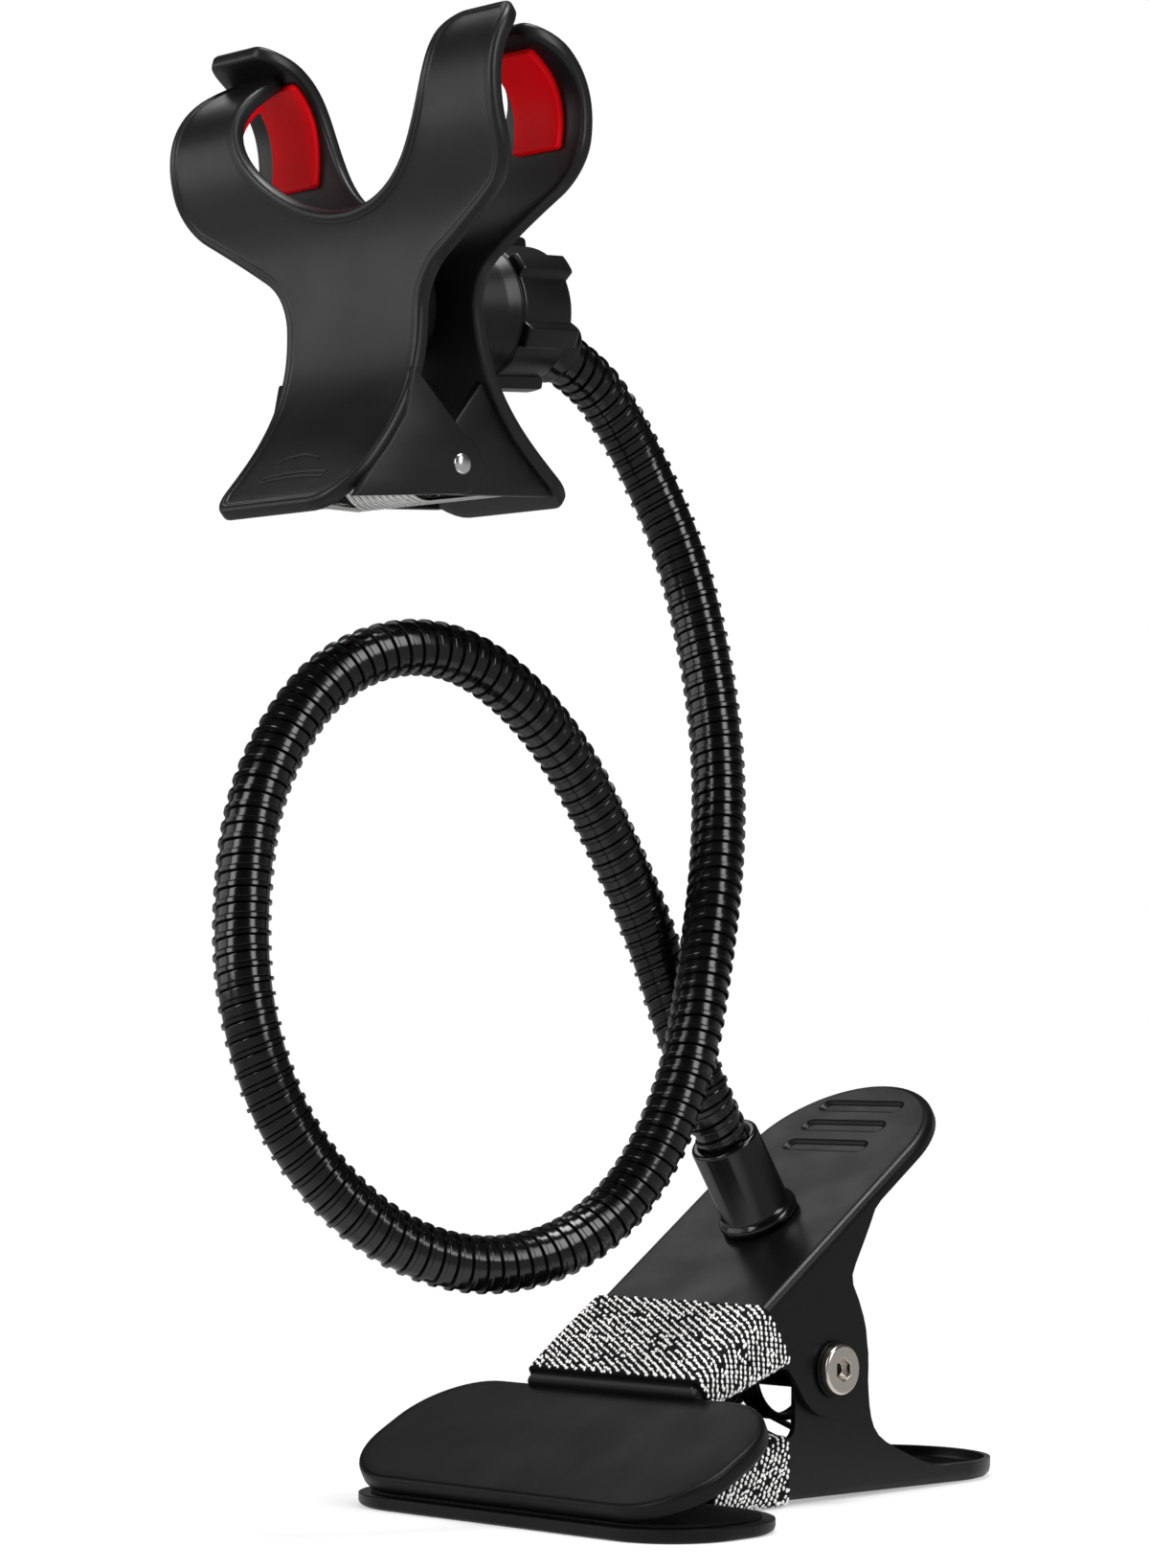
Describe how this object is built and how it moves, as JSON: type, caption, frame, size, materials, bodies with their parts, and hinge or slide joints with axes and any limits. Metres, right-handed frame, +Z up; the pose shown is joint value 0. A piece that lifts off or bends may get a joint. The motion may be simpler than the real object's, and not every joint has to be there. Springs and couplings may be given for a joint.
{
  "type": "flexible phone holder",
  "caption": "Spring clamp with wide padded jaws, a looped ribbed gooseneck, and a sprung clip with lapping arms on a lockable ball joint.",
  "frame": {"origin": "middle of the lower jaw pad's underside, on the floor that the clamp stands on", "axes": "+X along the clamp's pivot, +Y from the jaws to the lever tails, +Z up"},
  "size_m": [0.1135, 0.1887, 0.2854],
  "materials": {
    "painted_steel": "satin black paint",
    "pad_plastic": "satin black",
    "pad_rubber": "matte",
    "strap_elastic": "black and white marled weave",
    "nickel": "nickel plate",
    "zinc": "zinc plate",
    "spring_steel": "black oxide",
    "bright_wire": "bright",
    "hose_plastic": "gloss black",
    "clip_plastic": "satin black",
    "nut_plastic": "satin black",
    "red_rubber": "gloss red"
  },
  "bodies": {
    "base": {"lower_lever": "painted_steel", "lower_pad": "pad_plastic", "lower_grip": "pad_rubber", "lower_pad_rivets": "zinc", "lower_strap": "strap_elastic", "pivot_bolt": "nickel", "pivot_nut": "nickel", "pivot_sleeve": "spring_steel", "pivot_washers": "pad_plastic", "base_spring": "spring_steel"},
    "upper_jaw": {"upper_lever": "painted_steel", "upper_pad": "pad_plastic", "upper_grip": "pad_rubber", "upper_pad_rivets": "zinc", "upper_strap": "strap_elastic", "collar": "hose_plastic", "collar_screw": "zinc", "hose_root": "hose_plastic"},
    "neck_loop": {"hose_loop": "hose_plastic"},
    "neck_rise": {"hose_rise": "hose_plastic"},
    "neck_tip": {"hose_tip": "hose_plastic", "ball_stud": "hose_plastic"},
    "nut": {"lock_nut": "nut_plastic"},
    "clip_rear": {"rear_plate": "clip_plastic", "ball_socket": "nut_plastic", "socket_retainer": "nut_plastic", "clip_pin": "nickel", "clip_spring": "bright_wire", "rear_left_grip": "red_rubber", "rear_right_grip": "red_rubber"},
    "clip_front": {"front_plate": "clip_plastic", "front_left_grip": "red_rubber", "front_right_grip": "red_rubber"}
  },
  "joints": [
    {"name": "clamp_hinge", "type": "hinge", "parent": "base", "child": "upper_jaw", "pos_m": [0, 0.0535, 0.026], "axis": [-1, 0, 0], "range_deg": [0, 25], "stiffness_Nm_per_rad": 0.9, "springref_deg": -68.75, "deforming": ["base_spring"]},
    {"name": "neck_bend_low", "type": "hinge", "parent": "upper_jaw", "child": "neck_loop", "pos_m": [-0.00148, 0.03936, 0.08455], "axis": [1, 0, 0], "range_deg": [-12, 10]},
    {"name": "neck_bend_mid", "type": "hinge", "parent": "neck_loop", "child": "neck_rise", "pos_m": [-0.00374, 0.04838, 0.15037], "axis": [0, 1, 0], "range_deg": [-12, 12]},
    {"name": "neck_bend_high", "type": "hinge", "parent": "neck_rise", "child": "neck_tip", "pos_m": [-0.01652, 0.0434, 0.2031], "axis": [1, 0, 0], "range_deg": [-12, 8]},
    {"name": "head_tilt", "type": "hinge", "parent": "neck_tip", "child": "nut", "pos_m": [-0.02, 0.0043, 0.23482], "axis": [1, 0, 0], "range_deg": [-40, 3]},
    {"name": "head_swivel", "type": "hinge", "parent": "nut", "child": "clip_rear", "pos_m": [-0.02, 0.0043, 0.23482], "axis": [0, 0.9954, 0.0958], "range_deg": [-90, 90]},
    {"name": "clip_hinge", "type": "hinge", "parent": "clip_rear", "child": "clip_front", "pos_m": [-0.02, -0.0255, 0.2], "axis": [1, 0, 0], "range_deg": [0, 45], "stiffness_Nm_per_rad": 0.25, "springref_deg": -45.84, "deforming": ["clip_spring"]}
  ]
}
